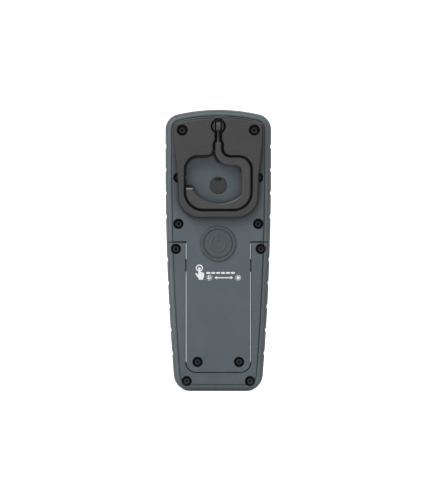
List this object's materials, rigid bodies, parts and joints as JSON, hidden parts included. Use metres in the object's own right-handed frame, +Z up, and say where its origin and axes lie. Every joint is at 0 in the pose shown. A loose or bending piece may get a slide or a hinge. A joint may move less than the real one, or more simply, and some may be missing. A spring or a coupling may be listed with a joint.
{
  "type": "handheld LED work light",
  "caption": "Handheld LED work light: lamp head with rear power button, fold-out hanging hook in a recessed plate, and a U-shaped stand that swings out behind the tongue-shaped battery grip.",
  "frame": {"origin": "Centre of the bounding box's bottom face, on the surface that the light stands on.", "axes": "+Z up along the light from the stand's foot to the head, -Y is the hook and button side, +Y is the way the lamp shines, +X to the right seen from the hook side."},
  "size_m": [0.064, 0.0336, 0.17],
  "materials": {
    "housing": "fine moulded grain, blue-grey",
    "rim_rubber": "soft matte overmould, blue-grey",
    "button_rubber": "soft matte, blue-grey",
    "plate": "fine moulded grain, dark grey",
    "hook_nylon": "smooth satin, dark grey",
    "cover_rubber": "soft matte, dark grey",
    "black_screw": "black oxide",
    "steel": "turned, bare",
    "nickel": "plated",
    "seal_rubber": "matte black",
    "board_green": "solder mask",
    "board_white": "white coated aluminium core",
    "sink_aluminium": "extruded",
    "reflector_white": "bright metallised moulding",
    "warm_chip": "phosphor dome, warm",
    "cool_chip": "phosphor dome, cool",
    "lens_clear": "clear polycarbonate",
    "bezel": "fine moulded grain, dark grey",
    "cell_wrap": "shrink sleeve",
    "cradle_plastic": "plain moulding",
    "wire_jacket": "insulation",
    "switch_black": "plain moulding"
  },
  "bodies": {
    "body": {"rear_shell": "housing", "front_shell": "housing", "case_seal": "seal_rubber", "head_rim": "rim_rubber", "hook_plate": "plate", "hook_hub": "plate", "hook_pin": "steel", "button_seal": "button_rubber", "tact_switch": "switch_black", "main_board": "board_green", "charge_board": "board_green", "charge_socket": "nickel", "battery_cell": "cell_wrap", "battery_cradle": "cradle_plastic", "battery_tabs": "nickel", "battery_leads": "wire_jacket", "lamp_leads": "wire_jacket", "charge_leads": "wire_jacket", "lens_bezel": "bezel", "lens": "lens_clear", "lens_gasket": "seal_rubber", "reflector": "reflector_white", "led_board": "board_white", "warm_leds": "warm_chip", "cool_leds": "cool_chip", "heat_sink": "sink_aluminium", "shell_screws": "black_screw", "plate_screws": "black_screw", "board_screws": "steel", "sink_screws": "steel", "hinge_pins": "steel", "friction_washers": "seal_rubber"},
    "hook": {"hook": "hook_nylon"},
    "stand": {"stand_rear_shell": "housing", "stand_front_shell": "housing", "stand_rim": "rim_rubber", "stand_screws": "black_screw"},
    "button": {"power_button": "button_rubber"},
    "port_cover": {"port_cover": "cover_rubber"}
  },
  "joints": [
    {"name": "hook_fold", "type": "hinge", "parent": "body", "child": "hook", "pos_m": [0, -0.014, 0.1596], "axis": [-1, 0, 0], "range_deg": [0, 180]},
    {"name": "stand_swing", "type": "hinge", "parent": "body", "child": "stand", "pos_m": [0, -0.009, 0.0759], "axis": [-1, 0, 0], "range_deg": [0, 120]},
    {"name": "button_press", "type": "slide", "parent": "body", "child": "button", "axis": [0, 1, 0], "range_m": [0, 0.0006], "stiffness_N_per_m": 2500},
    {"name": "port_cover_open", "type": "hinge", "parent": "body", "child": "port_cover", "pos_m": [0, -0.0108, 0.11905], "axis": [1, 0, 0], "range_deg": [0, 100]}
  ]
}
